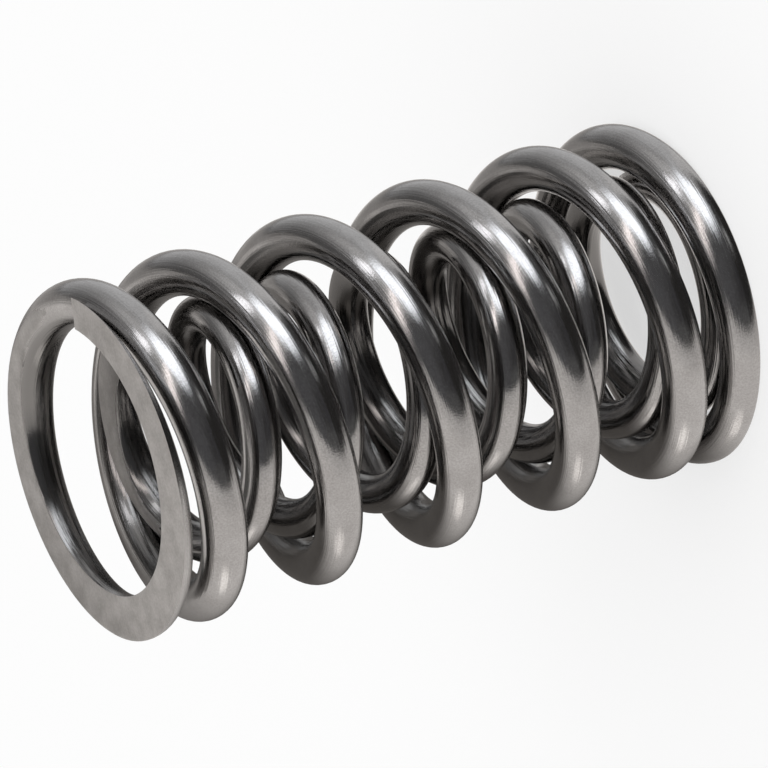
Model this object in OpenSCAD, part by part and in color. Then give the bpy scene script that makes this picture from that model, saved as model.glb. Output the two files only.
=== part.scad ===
// Nested pair of valve springs, standing on the end that seats in the cylinder head.
// Each spring is one round wire, wound to a coil, closed at both ends and ground flat there.
// The outer spring is wound right-handed and the inner one left-handed, so they can't interlock.
// Both stand on z = 0. The inner one is shorter, so its upper end lies inside the outer coil.

/* [Outer spring] */
// Diameter over the outside of the outer coil
outer_od = 29; // [26:0.5:36]
// Diameter of the outer spring's wire
outer_wire = 3.7; // [3:0.1:4]
// Height of the outer spring with no load on it
outer_height = 53.4; // [48:0.2:60]
// Turns of the outer wire from tip to tip
outer_turns = 6.83; // [6.4:0.01:7.2]
// Direction in which the outer wire's upper tip points, in degrees
outer_tip_angle = -14; // [-180:1:180]
// Thickness that grinding leaves at the outer wire's tips
outer_tip_thickness = 0.55; // [0.3:0.05:0.9]

/* [Outer spring's ends] */
// Turns that lie closed at the upper end before the wire lifts away
outer_top_closed = 0.42; // [0.3:0.02:0.8]
// Turns over which the upper end changes to the working pitch
outer_top_lead = 1.52; // [0.8:0.02:1.8]
// Gap between the upper tip and the coil that passes it
outer_top_gap = 0.15; // [0.05:0.05:0.6]
// Turns that lie closed at the lower end before the wire lifts away
outer_base_closed = 0.38; // [0.3:0.02:0.8]
// Turns over which the lower end changes to the working pitch
outer_base_lead = 2; // [0.8:0.02:2.2]
// Gap between the lower tip and the coil that passes it
outer_base_gap = 0.1; // [0.05:0.05:0.6]

/* [Inner spring] */
// Diameter of the inner spring's wire
inner_wire = 3.2; // [2.6:0.1:3.4]
// Gap all round between the two springs
nest_gap = 0.25; // [0.15:0.05:0.8]
// Distance of the inner spring's upper end below the outer spring's
inner_recess = 6.4; // [3:0.2:8]
// Turns of the inner wire from tip to tip
inner_turns = 7.21; // [6.6:0.01:7.4]
// Direction in which the inner wire's upper tip points, in degrees
inner_tip_angle = -60; // [-180:1:180]
// Thickness that grinding leaves at the inner wire's tips
inner_tip_thickness = 0.55; // [0.3:0.05:0.9]

/* [Inner spring's ends] */
// Turns that lie closed at the upper end before the wire lifts away
inner_top_closed = 0.34; // [0.3:0.02:0.8]
// Turns over which the upper end changes to the working pitch
inner_top_lead = 0.6; // [0.3:0.02:1]
// Gap between the upper tip and the coil that passes it
inner_top_gap = 2.7; // [0.4:0.1:3]
// Turns that lie closed at the lower end before the wire lifts away
inner_base_closed = 0.85; // [0.5:0.01:0.95]
// Turns over which the lower end changes to the working pitch
inner_base_lead = 0.3; // [0.3:0.02:1]
// Gap between the lower tip and the coil that passes it
inner_base_gap = 0.7; // [0.05:0.05:1.2]

/* [Smoothness] */
// Steps in one turn of the outer wire
outer_steps = 32; // [24:4:36]
// Steps in one turn of the inner wire
inner_steps = 24; // [20:4:28]
// Sides of the wire's round section
wire_sides = 14; // [10:4:18]

/* [Hidden] */
right_handed = 1;
left_handed = -1;
full_turn = 360;
half_turn = 180;
quarter_turn = 90;
outer_mean_r = (outer_od - outer_wire) / 2;
inner_mean_r = outer_od / 2 - outer_wire - nest_gap - inner_wire / 2;
inner_height = outer_height - inner_recess;
// Each end of a coil: its closed turns, its lead turns and the gap over its tip
closed = 0;
lead = 1;
gap = 2;
outer_base = [outer_base_closed, outer_base_lead, outer_base_gap];
outer_top = [outer_top_closed, outer_top_lead, outer_top_gap];
inner_base = [inner_base_closed, inner_base_lead, inner_base_gap];
inner_top = [inner_top_closed, inner_top_lead, inner_top_gap];
steel = [0.46, 0.45, 0.44];
dark_steel = [0.38, 0.37, 0.37];

// Height of a smooth step that climbs from 0 to 1 while x goes from 0 to 1
function ease(x) = x <= 0 ? 0 : x >= 1 ? 1 : x * x * (3 - 2 * x);

// Area under that step, from 0 to x
function ease_area(x) = x <= 0 ? 0 : x >= 1 ? x - 0.5 : pow(x, 3) - pow(x, 4) / 2;

function sum(values, i = 0) = i < len(values) ? values[i] + sum(values, i + 1) : 0;

// Angle from the foot of the wire's section to the edge of a flat at the given depth from its
// centre, and never less than half a side of the whole section
function flat_angle(depth, r) = max(half_turn / wire_sides, acos(max(-1, min(1, depth / r))));

// One round wire, coiled, closed at both ends and ground flat there, standing on z = 0.
// Its upper tip points at tip_angle. Its ends are given as [lower, upper].
module ground_spring(mean_r, wire, height, turns, hand, tip_angle, tip_thickness, ends, steps) {
    r = wire / 2;
    half_sides = wire_sides / 2;
    first_angle = tip_angle - hand * full_turn * turns;
    // Before grinding, the wire's centre runs from below the lower flat to above the upper one
    path_height = height + 2 * (r - tip_thickness);
    // One turn on from each tip, the wire has climbed its own thickness and the gap
    rise = [for (e = ends) wire + e[gap]];
    // Turns of each end that count at the end's own pitch
    slow = [for (e = ends) e[closed] + e[lead] / 2];
    // Turns of that first one that already count at the working pitch
    kick = [for (e = ends) e[lead] * ease_area((1 - e[closed]) / e[lead])];
    both = [0, 1];
    pitch = (path_height - sum([for (i = both) slow[i] * rise[i] / (1 - kick[i])]))
        / (turns - sum([for (i = both) slow[i] / (1 - kick[i])]));
    end_pitch = [for (i = both) (rise[i] - pitch * kick[i]) / (1 - kick[i])];

    // How far the wire has gone through the change of pitch at each end
    function base_change(u) = (u - ends[0][closed]) / ends[0][lead];
    function top_change(u) = (u - turns + ends[1][closed] + ends[1][lead]) / ends[1][lead];
    function centre_z(u) = tip_thickness - r + end_pitch[0] * u
        + (pitch - end_pitch[0]) * ends[0][lead] * ease_area(base_change(u))
        + (end_pitch[1] - pitch) * ends[1][lead] * ease_area(top_change(u));
    function pitch_at(u) = end_pitch[0] + (pitch - end_pitch[0]) * ease(base_change(u))
        + (end_pitch[1] - pitch) * ease(top_change(u));
    // The section in an upright plane is taller than the wire is thick, because the wire climbs
    function tall_r(u) = r * sqrt(1 + pow(pitch_at(u) / (2 * PI * mean_r), 2));

    // Angles round the section, up its outer side and down its inner one, between the two flats
    function side_angles(low, high) = let (step = (half_turn - low - high) / (half_sides - 1)) concat(
        [for (j = [0 : half_sides - 1]) low - quarter_turn + j * step],
        [for (j = [0 : half_sides - 1]) high + quarter_turn + j * step]);
    function ring(u) = let (
            z = centre_z(u),
            tall = tall_r(u),
            turn = first_angle + hand * full_turn * u)
        [for (a = side_angles(flat_angle(z, tall), flat_angle(height - z, tall)))
            let (rho = mean_r + r * cos(a))
            [rho * cos(turn), rho * sin(turn), max(0, min(height, z + tall * sin(a)))]];

    rings = ceil(turns * steps);
    points = [for (k = [0 : rings]) each ring(turns * k / rings)];
    start_cap = [for (j = [wire_sides - 1 : -1 : 0]) j];
    end_cap = [for (j = [0 : wire_sides - 1]) rings * wire_sides + j];
    skin = [for (k = [0 : rings - 1], j = [0 : wire_sides - 1])
        let (
            a = k * wire_sides + j,
            b = k * wire_sides + (j + 1) % wire_sides)
        each [[a, b, b + wire_sides], [a, b + wire_sides, a + wire_sides]]];
    faces = concat([start_cap], skin, [end_cap]);
    polyhedron(points, hand > 0 ? faces : [for (f = faces) [for (i = [len(f) - 1 : -1 : 0]) f[i]]]);
}

module outer_spring() {
    color(steel)
    ground_spring(outer_mean_r, outer_wire, outer_height, outer_turns, right_handed,
        outer_tip_angle, outer_tip_thickness, [outer_base, outer_top], outer_steps);
}

module inner_spring() {
    color(dark_steel)
    ground_spring(inner_mean_r, inner_wire, inner_height, inner_turns, left_handed,
        inner_tip_angle, inner_tip_thickness, [inner_base, inner_top], inner_steps);
}

outer_spring();
inner_spring();
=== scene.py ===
import math

import bpy
from mathutils import Matrix, Quaternion, Vector


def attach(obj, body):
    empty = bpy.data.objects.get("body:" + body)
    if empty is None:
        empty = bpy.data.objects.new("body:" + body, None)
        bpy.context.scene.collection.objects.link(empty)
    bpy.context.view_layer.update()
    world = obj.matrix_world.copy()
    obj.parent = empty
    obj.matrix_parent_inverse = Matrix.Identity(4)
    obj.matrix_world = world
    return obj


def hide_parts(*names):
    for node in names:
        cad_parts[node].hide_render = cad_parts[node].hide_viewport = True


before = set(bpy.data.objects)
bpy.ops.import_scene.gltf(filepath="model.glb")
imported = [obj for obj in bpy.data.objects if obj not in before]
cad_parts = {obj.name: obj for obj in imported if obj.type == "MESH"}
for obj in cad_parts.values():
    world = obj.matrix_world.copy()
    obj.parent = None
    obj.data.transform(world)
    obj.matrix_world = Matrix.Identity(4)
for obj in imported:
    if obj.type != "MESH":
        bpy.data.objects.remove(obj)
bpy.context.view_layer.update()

# Camera: the photograph was taken from a long way off, with the springs lying on their side.
# Here they stand on their seat, so the camera is rolled until they lie in the picture as there.
camera_target = Vector((-0.0006, -0.0001, 0.0268))
camera_distance = 0.7076
camera_azimuth = math.radians(-82.25)
camera_elevation = math.radians(26.625)
camera_roll = math.radians(-106.89)
camera_lens = 414.3
camera_sensor = 36
camera_clip_start = 0.05
camera_side = Vector((
    math.cos(camera_azimuth) * math.cos(camera_elevation),
    math.sin(camera_azimuth) * math.cos(camera_elevation),
    math.sin(camera_elevation),
))
upright_view = (-camera_side).to_track_quat("-Z", "Y")
rolled_view = upright_view @ Quaternion((0, 0, 1), camera_roll)
bpy.ops.object.select_all(action="DESELECT")
bpy.ops.object.camera_add(
    location=camera_target + camera_distance * camera_side,
    rotation=rolled_view.to_euler(),
)
camera = bpy.context.object
camera.name = "camera"
camera.data.sensor_width = camera_sensor
camera.data.lens = camera_lens
camera.data.clip_start = camera_clip_start
bpy.context.scene.camera = camera
bpy.context.scene.view_settings.view_transform = "Standard"

# Studio: what the polished wires mirror. The photograph's springs lie on a light table, under a
# broad soft box and in a dark room. Each part of that room is a patch of the world's directions.
table_azimuth = math.radians(-27.9)
table_up = Vector((math.cos(table_azimuth), math.sin(table_azimuth), 0))
towards_camera = (camera_side - camera_side.dot(table_up) * table_up).normalized()
table_right = table_up.cross(towards_camera)
world = bpy.data.worlds.new("studio")
bpy.context.scene.world = world
world.use_nodes = True
world.cycles.sampling_method = "NONE"
studio = world.node_tree
studio.nodes.clear()
directions = studio.nodes.new("ShaderNodeTexCoord")
to_table = studio.nodes.new("ShaderNodeMapping")
to_table.inputs["Rotation"].default_value = Matrix(
    (table_right, -towards_camera, table_up)).to_euler()
studio.links.new(directions.outputs["Generated"], to_table.inputs["Vector"])
split = studio.nodes.new("ShaderNodeSeparateXYZ")
studio.links.new(to_table.outputs["Vector"], split.inputs["Vector"])


def maths(tree, operation, *values):
    """One Math node's result. A value is a number or another node's output."""
    node = tree.nodes.new("ShaderNodeMath")
    node.operation = operation
    for socket, value in zip(node.inputs, values):
        if isinstance(value, (int, float)):
            socket.default_value = value
        else:
            tree.links.new(value, socket)
    return node.outputs["Value"]


def between(tree, value, low, high):
    """A soft mask that climbs from 0 to 1 while value goes from low to high."""
    node = tree.nodes.new("ShaderNodeMapRange")
    node.interpolation_type = "SMOOTHSTEP"
    tree.links.new(value, node.inputs["Value"])
    node.inputs["From Min"].default_value = min(low, high)
    node.inputs["From Max"].default_value = max(low, high)
    node.inputs["To Min"].default_value = float(low > high)
    node.inputs["To Max"].default_value = float(low < high)
    return node.outputs["Result"]


def mixed(tree, mask, under, over):
    """The colour over laid on the colour under where the mask is 1."""
    node = tree.nodes.new("ShaderNodeMix")
    node.data_type = "RGBA"
    tree.links.new(mask, node.inputs["Factor"])
    for socket, colour in ((node.inputs[6], under), (node.inputs[7], over)):
        if isinstance(colour, tuple):
            socket.default_value = (*colour, 1)
        else:
            tree.links.new(colour, socket)
    return node.outputs[2]


# Elevation above the table, and azimuth from the camera towards the right, both in degrees
elevation = maths(
    studio, "MULTIPLY", maths(studio, "ARCSINE", split.outputs["Z"]), math.degrees(1))
to_camera = maths(studio, "MULTIPLY", split.outputs["Y"], -1.0)
azimuth = maths(
    studio, "MULTIPLY", maths(studio, "ARCTAN2", split.outputs["X"], to_camera), math.degrees(1))
behind = maths(studio, "ABSOLUTE", azimuth)


def patch(centre, half_width, height, half_height):
    """A soft oval patch of the studio's directions, all in degrees."""
    across = maths(studio, "DIVIDE", maths(studio, "SUBTRACT", azimuth, centre), half_width)
    up = maths(studio, "DIVIDE", maths(studio, "SUBTRACT", elevation, height), half_height)
    out = maths(
        studio, "ADD",
        maths(studio, "POWER", maths(studio, "ABSOLUTE", across), 2.0),
        maths(studio, "POWER", maths(studio, "ABSOLUTE", up), 2.0))
    return between(studio, out, 1.5, 0.5)


# The dark room shows as a wide arch, from the table's edge up to the soft box. It is darkest on
# the right, and a column, a bench and a small window in it show as paler patches.
room_left = (0.122, 0.122, 0.127)
room_right = (0.036, 0.035, 0.034)
ceiling = (0.11, 0.11, 0.112)
room = mixed(studio, between(studio, azimuth, 0, 65), room_left, room_right)
column = patch(centre=55, half_width=7, height=28, half_height=30)
room = mixed(studio, column, room, (0.08, 0.08, 0.085))
bench = patch(centre=42, half_width=26, height=5, half_height=7)
room = mixed(studio, bench, room, (0.13, 0.13, 0.13))
room = mixed(studio, between(studio, elevation, 28, 50), room, ceiling)
window = patch(centre=93, half_width=8, height=38, half_height=6)
room = mixed(studio, window, room, (0.6, 0.6, 0.6))

# Walls close the arch at its left and right, and lean in as they rise. They are palest behind,
# where a white screen stands.
wall_beside = (0.14, 0.137, 0.137)
wall_behind = (0.76, 0.76, 0.77)
wall_top = (0.76, 0.75, 0.75)
wall = mixed(studio, between(studio, behind, 105, 178), wall_beside, wall_behind)
lit_top = maths(
    studio, "MULTIPLY", between(studio, elevation, 6, 60), between(studio, behind, 160, 110))
wall = mixed(studio, lit_top, wall, wall_top)
steep = maths(
    studio, "POWER", maths(studio, "ABSOLUTE", maths(studio, "DIVIDE", elevation, 60)), 2.5)
left_edge = maths(studio, "SUBTRACT", azimuth, maths(studio, "MULTIPLY", steep, 42))
right_edge = maths(studio, "ADD", azimuth, maths(studio, "MULTIPLY", steep, 30))
walls = maths(
    studio, "MAXIMUM", between(studio, left_edge, -36, -54), between(studio, right_edge, 142, 161))
light = mixed(studio, walls, room, wall)
screen = patch(centre=156, half_width=9, height=22, half_height=40)
light = mixed(studio, screen, light, (0.85, 0.84, 0.84))

# The lights: a leaning strip and a small lamp on the left, and the broad soft box overhead
strip_light = (2.7, 2.5, 2.45)
side_lamp = (2.6, 2.6, 2.7)
soft_box = (2.6, 2.7, 2.85)
strip_place = maths(studio, "SUBTRACT", azimuth, maths(studio, "MULTIPLY", elevation, 0.28))
strip_width = maths(
    studio, "MULTIPLY",
    between(studio, strip_place, -65, -58), between(studio, strip_place, -46, -53))
strip_height = maths(
    studio, "MULTIPLY", between(studio, elevation, -4, 32), between(studio, elevation, 68, 54))
light = mixed(studio, maths(studio, "MULTIPLY", strip_width, strip_height), light, strip_light)
side = patch(centre=-77, half_width=8, height=42, half_height=15)
light = mixed(studio, side, light, side_lamp)
off_box = maths(studio, "ABSOLUTE", maths(studio, "SUBTRACT", azimuth, 22))
box_edge = maths(
    studio, "SUBTRACT", elevation,
    maths(studio, "MULTIPLY", between(studio, off_box, 75, 145), 14))
light = mixed(studio, between(studio, box_edge, 54, 71), light, soft_box)

# The table glows through from below, most of all from a lamp under its front. It is dimmer far
# off, and a patch of it at the left is painted dark: painted shade of the springs.
lamp_below = Vector((0.027, -0.308, -0.951))
table_glow = (0.92, 0.88, 0.85)
lamp_glow = (1.65, 1.58, 1.52)
far_glow = (0.76, 0.73, 0.71)
painted_table_shade = (0.14, 0.135, 0.13)
facing = studio.nodes.new("ShaderNodeVectorMath")
facing.operation = "DOT_PRODUCT"
studio.links.new(to_table.outputs["Vector"], facing.inputs[0])
facing.inputs[1].default_value = lamp_below
lamp_spot = between(studio, facing.outputs["Value"], 0.962, 0.999)
glow = mixed(studio, lamp_spot, table_glow, lamp_glow)
glow = mixed(studio, between(studio, elevation, -24, -10), glow, far_glow)
# Painted shade: a dark patch on the table's glow at the left
left_shade_patch = patch(centre=-85, half_width=19, height=-23, half_height=15)
glow = mixed(studio, left_shade_patch, glow, painted_table_shade)
light = mixed(studio, between(studio, elevation, -1, -7), light, glow)

# Only mirrored rays see that room. All others see an even, pale world.
pale = (0.98, 0.98, 0.98)
mirrored = studio.nodes.new("ShaderNodeBackground")
studio.links.new(light, mirrored.inputs["Color"])
even = studio.nodes.new("ShaderNodeBackground")
even.inputs["Color"].default_value = (*pale, 1)
rays = studio.nodes.new("ShaderNodeLightPath")
choose = studio.nodes.new("ShaderNodeMixShader")
studio.links.new(rays.outputs["Is Glossy Ray"], choose.inputs["Fac"])
studio.links.new(even.outputs["Background"], choose.inputs[1])
studio.links.new(mirrored.outputs["Background"], choose.inputs[2])
world_output = studio.nodes.new("ShaderNodeOutputWorld")
studio.links.new(choose.outputs["Shader"], world_output.inputs["Surface"])

# Table shadow: the shadow that the springs cast on the light table under their side. It is a clear
# sheet on the table that only the polished wires see, darker under the springs and behind them.
# Each edge of the shadow is soft, and given by where it starts and where it is full.
table_gap = 0.0002
sheet_size = 6.0
shadow_depth = 0.88
tail_depth = 0.72
back_dimming = 0.46
shadow_lean = 0.2
seat_edge = (-0.008, 0.003)
retainer_edge = (0.060, 0.045)
front_edge = (0.0155, 0.005)
core_edge = (-0.034, -0.008)
tail_edge = (-0.120, -0.050)
back_edge = (-0.045, -0.110)
clear_table = (1.0, 1.0, 1.0)
full_shadow = (0.01, 0.005, 0.0)
spring_side = 0.0145
bpy.ops.object.select_all(action="DESELECT")
bpy.ops.mesh.primitive_plane_add(
    size=sheet_size,
    location=-(spring_side + table_gap) * table_up,
    rotation=Matrix((
        (0, 0, 1), Vector((0, 0, -1)).cross(table_up), table_up)).transposed().to_euler())
table_shadow = bpy.context.object
table_shadow.name = "table_shadow"
table_shadow.visible_camera = False
table_shadow.visible_diffuse = False
table_shadow.visible_shadow = False
shade = bpy.data.materials.new("table_shade")
shade.use_nodes = True
sheet = shade.node_tree
sheet.nodes.clear()
place = sheet.nodes.new("ShaderNodeSeparateXYZ")
sheet.links.new(sheet.nodes.new("ShaderNodeTexCoord").outputs["Object"], place.inputs["Vector"])
lean = maths(sheet, "MULTIPLY", place.outputs["Y"], shadow_lean)
skewed = maths(sheet, "ADD", place.outputs["X"], lean)
along = maths(
    sheet, "MULTIPLY", between(sheet, skewed, *seat_edge), between(sheet, skewed, *retainer_edge))
core = maths(sheet, "MULTIPLY", between(sheet, place.outputs["Y"], *core_edge), shadow_depth)
tail = maths(sheet, "MULTIPLY", between(sheet, place.outputs["Y"], *tail_edge), tail_depth)
across = maths(sheet, "MAXIMUM", core, tail)
under = maths(
    sheet, "MULTIPLY",
    maths(sheet, "MULTIPLY", along, across), between(sheet, place.outputs["Y"], *front_edge))
far_back = maths(sheet, "MULTIPLY", between(sheet, place.outputs["Y"], *back_edge), back_dimming)
clear = sheet.nodes.new("ShaderNodeBsdfTransparent")
sheet.links.new(
    mixed(sheet, maths(sheet, "MAXIMUM", under, far_back), clear_table, full_shadow),
    clear.inputs["Color"])
sheet_output = sheet.nodes.new("ShaderNodeOutputMaterial")
sheet.links.new(clear.outputs["BSDF"], sheet_output.inputs["Surface"])
table_shadow.data.materials.append(shade)

# Floor: a plain pale sheet of card under the springs' seat, lit softly from above. The wires don't
# mirror it, because their light table stands for it, and it glows a little so that it stays white.
floor_size = 6.0
floor_glow = 0.62
card_white = (0.93, 0.93, 0.93)
card_roughness = 0.9
bpy.ops.object.select_all(action="DESELECT")
bpy.ops.mesh.primitive_plane_add(size=floor_size, location=(0, 0, 0))
floor = bpy.context.object
floor.name = "floor"
floor.visible_glossy = False
card = bpy.data.materials.new("pale_card")
card.use_nodes = True
paper = card.node_tree.nodes["Principled BSDF"]
paper.inputs["Base Color"].default_value = (*card_white, 1)
paper.inputs["Roughness"].default_value = card_roughness
paper.inputs["Specular IOR Level"].default_value = 0.0
white = card.node_tree.nodes.new("ShaderNodeEmission")
white.inputs["Color"].default_value = (*pale, 1)
seen = card.node_tree.nodes.new("ShaderNodeLightPath")
lift = card.node_tree.nodes.new("ShaderNodeMixShader")
card.node_tree.links.new(
    maths(card.node_tree, "MULTIPLY", seen.outputs["Is Camera Ray"], floor_glow),
    lift.inputs["Fac"])
card.node_tree.links.new(paper.outputs["BSDF"], lift.inputs[1])
card.node_tree.links.new(white.outputs["Emission"], lift.inputs[2])
card.node_tree.links.new(
    lift.outputs["Shader"], card.node_tree.nodes["Material Output"].inputs["Surface"])
floor.data.materials.append(card)

lamp_place = Vector((0.9, -0.9, 1.6))
lamp_size = 1.2
lamp_power = 5
bpy.ops.object.select_all(action="DESELECT")
bpy.ops.object.light_add(
    type="AREA", location=lamp_place, rotation=(-lamp_place).to_track_quat("-Z", "Y").to_euler())
lamp = bpy.context.object
lamp.name = "floor_lamp"
lamp.data.shape = "DISK"
lamp.data.size = lamp_size
lamp.data.energy = lamp_power
lamp.visible_glossy = False

# Outer spring: one length of drawn and polished spring steel wire, coiled cold and right-handed.
# Each end coil is closed against the next one and ground flat, square to the springs' axis.
outer_od = 0.029
outer_wire = 0.0037
outer_height = 0.0534
outer_turns = 6.83
outer_tip_angle = math.radians(-14)
outer_tip_thickness = 0.00055
outer_base = (0.38, 2.0, 0.0001)
outer_top = (0.42, 1.52, 0.00015)
steps_per_turn = 100
section_points = 64
flat_points = 12
side_points = section_points // 2 - flat_points
edge_softness = 0.0001
wheel_reach = 0.0003
crest_slope = 0.9
smooth_angle = math.radians(30)
outer_polish = (0.46, 0.455, 0.45)
outer_smudge = (0.34, 0.33, 0.325)
# Painted shade: a darker colour for the side of the wire that faces the coil's axis
outer_inside_shade = (0.22, 0.215, 0.21)
outer_satin = (0.56, 0.55, 0.54)
outer_stain = (0.33, 0.32, 0.31)


def ease_area(x):
    """Area from 0 to x under a smooth step that climbs from 0 to 1 between 0 and 1."""
    inside = min(max(x, 0), 1)
    return max(x - 1, 0) + inside ** 3 - inside ** 4 / 2


def winding(wire, height, turns, tip_thickness, base, top):
    """Heights of the wire's centre, step by step from its lower tip to its upper one. base and top
    give each end's closed turns, the turns in which its pitch changes, and the gap over its tip."""
    rise = [wire + gap for closed, lead, gap in (base, top)]
    slow = [closed + lead / 2 for closed, lead, gap in (base, top)]
    kick = [lead * ease_area((1 - closed) / lead) for closed, lead, gap in (base, top)]
    pitch = (
        height + wire - 2 * tip_thickness
        - sum(s * r / (1 - k) for s, r, k in zip(slow, rise, kick))
    ) / (turns - sum(s / (1 - k) for s, k in zip(slow, kick)))
    base_pitch, top_pitch = ((r - pitch * k) / (1 - k) for r, k in zip(rise, kick))
    steps = math.ceil(turns * steps_per_turn)
    heights = []
    for step in range(steps + 1):
        turn = turns * step / steps
        heights.append(
            tip_thickness - wire / 2 + base_pitch * turn
            + (pitch - base_pitch) * base[1] * ease_area((turn - base[0]) / base[1])
            + (top_pitch - pitch) * top[1] * ease_area((turn - turns + top[0] + top[1]) / top[1]))
    return heights


def half_flat(depth, radius):
    """Half the angle that a flat takes of the wire's section, at that depth from its centre."""
    least = math.pi * flat_points / section_points
    return max(least, math.acos(max(-1, min(1, depth / radius))))


def ground(z, level):
    """Height z after grinding down to level, with a slightly softened edge."""
    over = z - level
    if over <= -edge_softness:
        return z
    if over >= edge_softness:
        return level
    return z - (over + edge_softness) ** 2 / (4 * edge_softness)


def ground_section(point, z, radius, height):
    """Place of one of the section's points: its distance out from the wire's centre, and its
    height, after grinding to 0 and to height. The points run over the upper flat, down the
    inner side, along the lower flat and up the outer side."""
    upper = half_flat(height - z, radius)
    lower = half_flat(z, radius)
    point = (point + flat_points // 2 - section_points // 4) % section_points
    side = math.pi - upper - lower
    if point <= flat_points:
        out = -radius * math.sin(upper) * math.sin(math.pi * (point / flat_points - 0.5))
        up = math.sqrt(radius ** 2 - out ** 2)
    elif point < flat_points + side_points:
        angle = math.pi / 2 + upper + side * (point - flat_points) / side_points
        out, up = radius * math.cos(angle), radius * math.sin(angle)
    elif point <= 2 * flat_points + side_points:
        share = (point - flat_points - side_points) / flat_points
        out = radius * math.sin(lower) * math.sin(math.pi * (share - 0.5))
        up = -math.sqrt(radius ** 2 - out ** 2)
    else:
        share = (point - 2 * flat_points - side_points) / side_points
        angle = 1.5 * math.pi + lower + side * share
        out, up = radius * math.cos(angle), radius * math.sin(angle)
    return out, -ground(-ground(z + up, height), 0)


def wind_and_grind(name, mean_radius, wire, heights, turns, hand, tip_angle, height):
    """Spins the wire's section round the Z axis, lifts it step by step and grinds both ends."""
    steps = len(heights) - 1
    first_angle = tip_angle - hand * math.tau * turns
    bpy.ops.object.select_all(action="DESELECT")
    bpy.ops.mesh.primitive_circle_add(
        vertices=section_points, radius=wire / 2,
        location=(mean_radius, 0, 0), rotation=(math.pi / 2, 0, 0))
    spring = bpy.context.object
    spring.name = name
    bpy.ops.object.transform_apply(location=True, rotation=True, scale=True)
    first_ring = [vertex.co.copy() for vertex in spring.data.vertices]
    bpy.ops.object.mode_set(mode="EDIT")
    bpy.ops.mesh.select_all(action="SELECT")
    bpy.ops.mesh.spin(
        steps=steps, angle=hand * math.tau * turns, center=(0, 0, 0), axis=(0, 0, 1))
    bpy.ops.object.mode_set(mode="OBJECT")
    points = [
        round(math.atan2(co.z, co.x - mean_radius) / math.tau * section_points) % section_points
        for co in first_ring]
    for vertex in spring.data.vertices:
        step, place = divmod(vertex.index, section_points)
        point = points[place]
        out, up = ground_section(point, heights[step], wire / 2, height)
        turn = first_angle + hand * math.tau * turns * step / steps
        vertex.co = (
            (mean_radius + out) * math.cos(turn),
            (mean_radius + out) * math.sin(turn),
            up)
    # The wire's own map, in metres: along the wire, and round its section
    wire_map = spring.data.uv_layers.new(name="wire")
    along = mean_radius * math.tau * turns / steps
    around = math.pi * wire / section_points
    for face in spring.data.polygons:
        corners = [divmod(index, section_points) for index in face.vertices]
        wraps = {0, section_points - 1} <= {points[place] for step, place in corners}
        for loop, (step, place) in zip(face.loop_indices, corners):
            point = points[place] or (section_points if wraps else 0)
            wire_map.data[loop].uv = (along * step, around * point)
    for ring in (0, steps):
        bpy.ops.object.mode_set(mode="EDIT")
        bpy.ops.mesh.select_mode(type="VERT")
        bpy.ops.mesh.select_all(action="DESELECT")
        bpy.ops.object.mode_set(mode="OBJECT")
        for vertex in spring.data.vertices[ring * section_points:(ring + 1) * section_points]:
            vertex.select = True
        bpy.ops.object.mode_set(mode="EDIT")
        bpy.ops.mesh.edge_face_add()
        bpy.ops.object.mode_set(mode="OBJECT")
    bpy.ops.object.mode_set(mode="EDIT")
    bpy.ops.mesh.select_all(action="SELECT")
    bpy.ops.mesh.normals_make_consistent(inside=False)
    bpy.ops.object.mode_set(mode="OBJECT")
    bpy.ops.object.shade_smooth_by_angle(angle=smooth_angle)
    return spring


def noise(tree, place, scale, detail, stretch=(1, 1, 1)):
    """A fine pattern on the given coordinates, finer along the axes that are stretched."""
    mapping = tree.nodes.new("ShaderNodeMapping")
    mapping.inputs["Scale"].default_value = stretch
    tree.links.new(place, mapping.inputs["Vector"])
    node = tree.nodes.new("ShaderNodeTexNoise")
    node.inputs["Scale"].default_value = scale
    node.inputs["Detail"].default_value = detail
    tree.links.new(mapping.outputs["Vector"], node.inputs["Vector"])
    return node.outputs["Fac"]


def ranged(tree, value, low, high):
    """Spreads a pattern's middle values, 0.3 to 0.7, over low to high."""
    node = tree.nodes.new("ShaderNodeMapRange")
    tree.links.new(value, node.inputs["Value"])
    node.inputs["From Min"].default_value = 0.3
    node.inputs["From Max"].default_value = 0.7
    node.inputs["To Min"].default_value = low
    node.inputs["To Max"].default_value = high
    return node.outputs["Result"]


def bumped(tree, height, depth, below=None):
    """A surface normal with that relief, depth in metres, over the relief below."""
    node = tree.nodes.new("ShaderNodeBump")
    node.inputs["Distance"].default_value = depth
    tree.links.new(height, node.inputs["Height"])
    if below:
        tree.links.new(below, node.inputs["Normal"])
    return node.outputs["Normal"]


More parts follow.
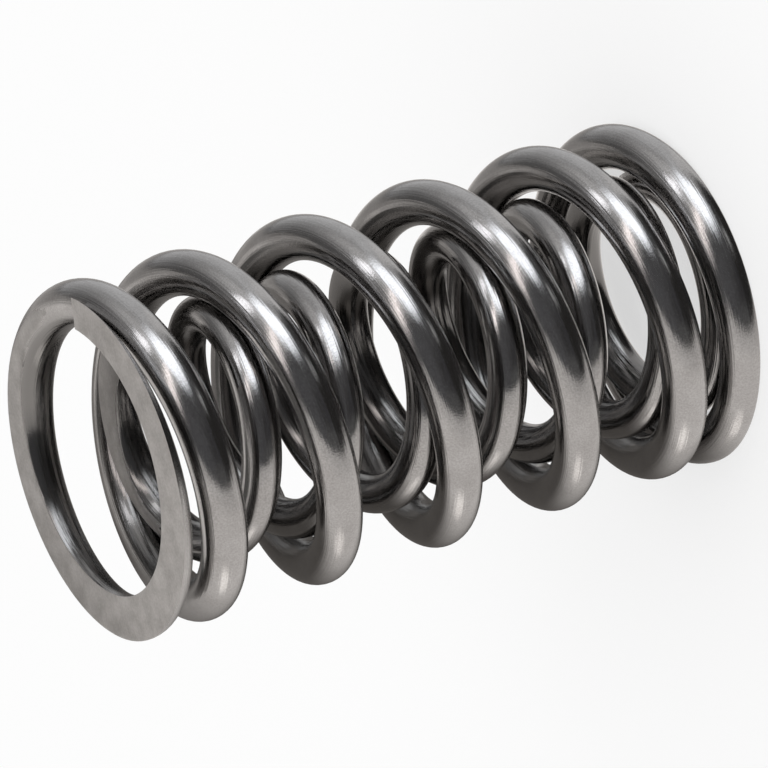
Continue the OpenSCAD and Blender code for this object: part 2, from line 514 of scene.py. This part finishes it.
def polished_wire(name, radius, colour, smudge, inside_shade):
    """Drawn spring wire, polished: fine lines along it, fine grain and faint smudges. The
    side that faces the coil's axis is painted darker: painted shade, where little light reaches."""
    material = bpy.data.materials.new(name)
    material.use_nodes = True
    tree = material.node_tree
    steel = tree.nodes["Principled BSDF"]
    steel.inputs["Metallic"].default_value = 1
    wire = tree.nodes.new("ShaderNodeUVMap")
    wire.uv_map = "wire"
    body = tree.nodes.new("ShaderNodeTexCoord").outputs["Object"]
    lines = noise(tree, wire.outputs["UV"], scale=150, detail=3, stretch=(1, 40, 1))
    grain = noise(tree, body, scale=6500, detail=2)
    patches = noise(tree, body, scale=420, detail=4)
    split = tree.nodes.new("ShaderNodeSeparateXYZ")
    tree.links.new(wire.outputs["UV"], split.inputs["Vector"])
    outwards = maths(tree, "COSINE", maths(tree, "DIVIDE", split.outputs["Y"], radius))
    brightness = maths(tree, "ADD", ranged(tree, patches, 0, 0.45), ranged(tree, grain, 0, 0.65))
    polished = mixed(tree, brightness, smudge, colour)
    # Painted shade: the side of the wire that faces the coil's axis takes the darker colour
    shade_inwards = between(tree, outwards, 0.1, -0.8)
    tree.links.new(mixed(tree, shade_inwards, polished, inside_shade), steel.inputs["Base Color"])
    tree.links.new(
        maths(tree, "ADD", ranged(tree, lines, 0.08, 0.16), ranged(tree, patches, 0.04, -0.02)),
        steel.inputs["Roughness"])
    relief = bumped(tree, grain, depth=5e-6, below=bumped(tree, lines, depth=2.2e-5))
    tree.links.new(relief, steel.inputs["Normal"])
    return material


def ground_steel(name, colour, stain):
    """The end faces, left satin by the grinding wheel: fine crossing scratches and dull stains."""
    material = bpy.data.materials.new(name)
    material.use_nodes = True
    tree = material.node_tree
    steel = tree.nodes["Principled BSDF"]
    steel.inputs["Metallic"].default_value = 1
    body = tree.nodes.new("ShaderNodeTexCoord").outputs["Object"]
    scratches = noise(tree, body, scale=260, detail=4, stretch=(1, 30, 1))
    grain = noise(tree, body, scale=5200, detail=3)
    stains = noise(tree, body, scale=520, detail=5)
    tree.links.new(
        mixed(
            tree, maths(tree, "ADD", ranged(tree, stains, 0, 0.65), ranged(tree, grain, 0, 0.45)),
            stain, colour),
        steel.inputs["Base Color"])
    tree.links.new(
        maths(tree, "ADD", ranged(tree, scratches, 0.36, 0.5), ranged(tree, grain, -0.04, 0.04)),
        steel.inputs["Roughness"])
    relief = bumped(tree, grain, depth=2.5e-6, below=bumped(tree, scratches, depth=2e-6))
    tree.links.new(relief, steel.inputs["Normal"])
    return material


def finish_faces(spring, height, wire_finish, ground_finish):
    """Gives the wire its finish, and both ends theirs: the flats, and the narrow crest of wire
    that the grinding wheel still brushed where each flat runs out."""
    spring.data.materials.append(wire_finish)
    spring.data.materials.append(ground_finish)
    for face in spring.data.polygons:
        from_flat = min(face.center.z, height - face.center.z)
        face.material_index = int(from_flat < wheel_reach and abs(face.normal.z) > crest_slope)


outer = wind_and_grind(
    "outer_coil", (outer_od - outer_wire) / 2, outer_wire,
    winding(outer_wire, outer_height, outer_turns, outer_tip_thickness, outer_base, outer_top),
    outer_turns, 1, outer_tip_angle, outer_height)
finish_faces(
    outer, outer_height,
    polished_wire(
        "outer_wire_finish_and_shade", outer_wire / 2, outer_polish, outer_smudge, outer_inside_shade),
    ground_steel("outer_ground_finish", outer_satin, outer_stain))
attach(outer, "root")
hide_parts("outer_spring")

# Inner spring: thinner wire of the same steel, coiled left-handed so that the two can't interlock.
# It drops into the outer spring, stands on the same seat and ends below the retainer's inner step.
inner_wire = 0.0032
nest_gap = 0.00025
inner_recess = 0.0064
inner_turns = 7.21
inner_tip_angle = math.radians(-60)
inner_tip_thickness = 0.00055
inner_base = (0.85, 0.3, 0.0007)
inner_top = (0.34, 0.6, 0.0027)
inner_height = outer_height - inner_recess
inner_polish = (0.44, 0.435, 0.43)
inner_smudge = (0.32, 0.31, 0.305)
# Painted shade: a darker colour for the side of the wire that faces the coil's axis
inner_inside_shade = (0.20, 0.195, 0.19)
inner_satin = (0.53, 0.52, 0.51)
inner_stain = (0.31, 0.30, 0.29)
inner = wind_and_grind(
    "inner_coil", outer_od / 2 - outer_wire - nest_gap - inner_wire / 2, inner_wire,
    winding(inner_wire, inner_height, inner_turns, inner_tip_thickness, inner_base, inner_top),
    inner_turns, -1, inner_tip_angle, inner_height)
finish_faces(
    inner, inner_height,
    polished_wire(
        "inner_wire_finish_and_shade", inner_wire / 2, inner_polish, inner_smudge, inner_inside_shade),
    ground_steel("inner_ground_finish", inner_satin, inner_stain))
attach(inner, "root")
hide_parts("inner_spring")
